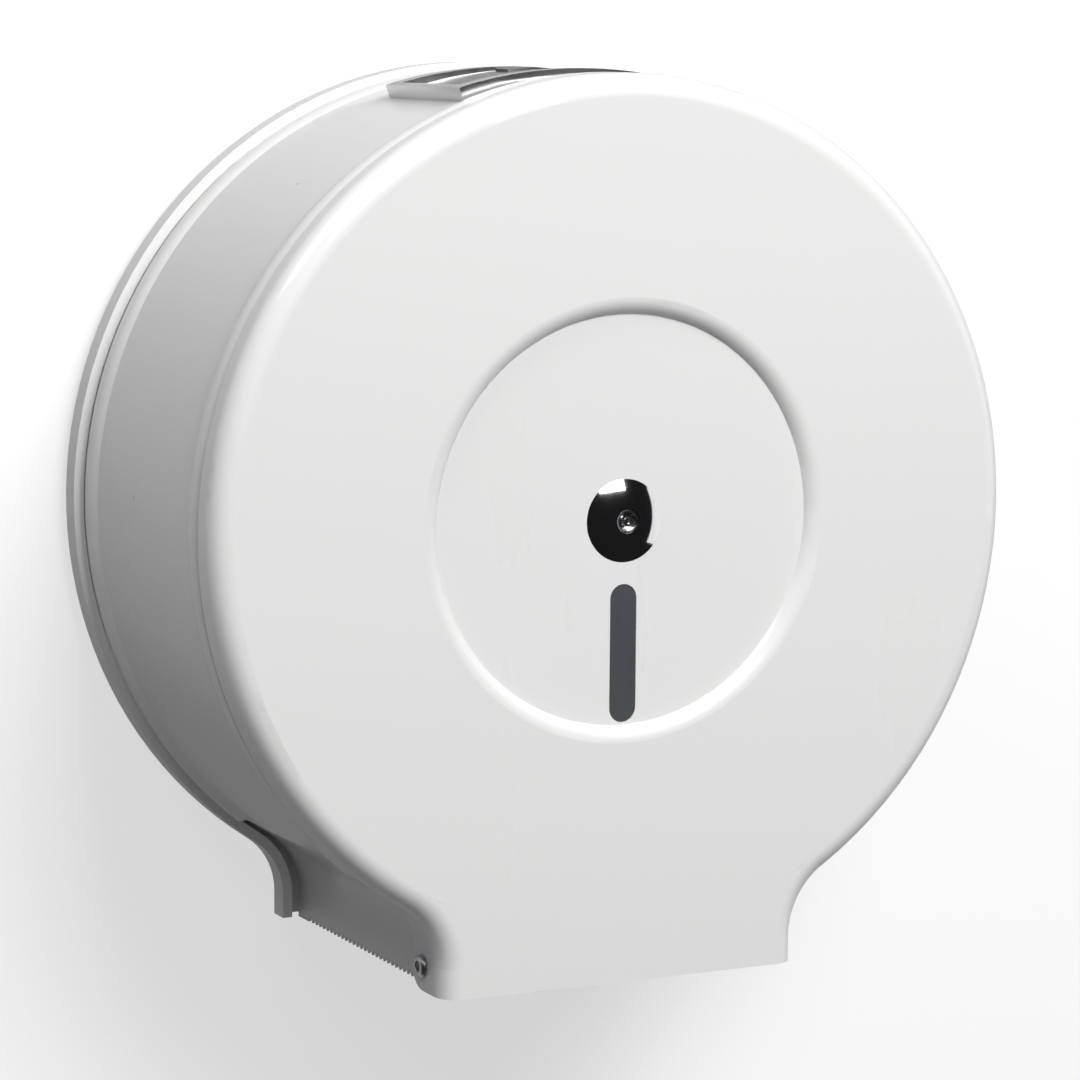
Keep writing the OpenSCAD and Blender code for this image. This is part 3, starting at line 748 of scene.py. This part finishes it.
stage_paper, tree, shader = new_material("stage paper", Roughness=0.9, Specular_IOR_Level=0.0)
shader.inputs["Base Color"].default_value = (0.42, 0.42, 0.42, 1)
shader.inputs["Emission Color"].default_value = (1, 1, 1, 1)
paper_ray = add_node(tree, "ShaderNodeLightPath")
paper_glow = add_node(tree, "ShaderNodeMapRange", To_Min=glow_seen, To_Max=glow_in_mirrors)
join(tree, paper_ray.outputs["Is Glossy Ray"], paper_glow.inputs["Value"])
join(tree, paper_glow.outputs["Result"], shader.inputs["Emission Strength"])
paper_side = add_node(tree, "ShaderNodeNewGeometry")
paper_front = add_node(tree, "ShaderNodeMapRange", To_Min=1.0, To_Max=0.0)
join(tree, paper_side.outputs["Backfacing"], paper_front.inputs["Value"])
join(tree, paper_front.outputs["Result"], shader.inputs["Alpha"])

deselect_all()
bpy.ops.mesh.primitive_plane_add(size=stage_size, location=wall_place, rotation=outward)
wall = bpy.context.object
wall.name = "stage_wall"
bpy.ops.mesh.primitive_plane_add(size=stage_size, location=floor_place)
floor = bpy.context.object
floor.name = "stage_floor"
for piece in (wall, floor):
    piece.data.materials.append(stage_paper)
    piece.visible_diffuse = False
floor.visible_glossy = False
print("stage:", wall.name, floor.name)


# %% [markdown]
# The key light is a big softbox in front of the dispenser and above it: it whitens the face and
# the lower part of the recess and leaves the upper part dark. A second box, up on the left,
# shades the drum from white at its top to grey at the neck.

# %% Lamps
def softbox(name, place, aim, width, height, power):
    """A rectangular area lamp that faces a point."""
    data = bpy.data.lights.new(name, "AREA")
    data.shape = "RECTANGLE"
    data.size = width
    data.size_y = height
    data.energy = power
    lamp = bpy.data.objects.new(name, data)
    lamp.location = place
    lamp.rotation_euler = (Vector(aim) - Vector(place)).to_track_quat("-Z", "Y").to_euler()
    bpy.context.scene.collection.objects.link(lamp)


drum_centre = (0, -0.06, 0)
softbox("key_softbox", place=(0.3, -1.65, 1.35), aim=drum_centre, width=1.2, height=0.8, power=49)
softbox("side_softbox", place=(-0.95, -0.45, 1.3), aim=drum_centre, width=0.7, height=0.7, power=8)

# %% [markdown]
# The chrome needs something to mirror. A white card on the right, which only reflections see,
# gives the crescent on the lock.

# %% Card for the chrome
card_place = (1.15, -0.4, 0.15)
card_turn = (math.pi / 2, 0, math.radians(70))
card_glow, tree, shader = new_material("card glow", Roughness=1.0, Specular_IOR_Level=0.0)
shader.inputs["Base Color"].default_value = (0, 0, 0, 1)
shader.inputs["Emission Color"].default_value = (1, 1, 1, 1)
shader.inputs["Emission Strength"].default_value = 1.0
deselect_all()
bpy.ops.mesh.primitive_plane_add(size=1, location=card_place, rotation=card_turn)
card = bpy.context.object
card.name = "stage_card"
card.scale = (0.5, 1.5, 1)
card.data.materials.append(card_glow)
card.visible_diffuse = False
card.visible_shadow = False
card.visible_camera = False
print("stage:", card.name)

# %% [markdown]
# The room itself is the world's light. The camera sees it white, as the photograph's background
# is, it lights the dispenser softly from all round, and mirrors see it nearly black, which gives
# the lock its dark middle. The kind of ray that asks decides which of the three it gets.

# %% Room
room_light = 0.15
room_in_mirrors = 0.012
room_seen = 1.0

world = bpy.context.scene.world or bpy.data.worlds.new("studio room")
bpy.context.scene.world = world
world.use_nodes = True
tree = world.node_tree
room = tree.nodes["Background"]
room.inputs["Color"].default_value = (1, 1, 1, 1)
ray = add_node(tree, "ShaderNodeLightPath")
plain = add_node(tree, "ShaderNodeMix", data_type="FLOAT")
plain.inputs["A"].default_value = room_light
plain.inputs["B"].default_value = room_in_mirrors
shown = add_node(tree, "ShaderNodeMix", data_type="FLOAT")
shown.inputs["B"].default_value = room_seen
join(tree, ray.outputs["Is Glossy Ray"], plain.inputs["Factor"])
join(tree, plain.outputs["Result"], shown.inputs["A"])
join(tree, ray.outputs["Is Camera Ray"], shown.inputs["Factor"])
join(tree, shown.outputs["Result"], room.inputs["Strength"])
bpy.context.scene.view_settings.view_transform = "Standard"
print("room:", world.name)
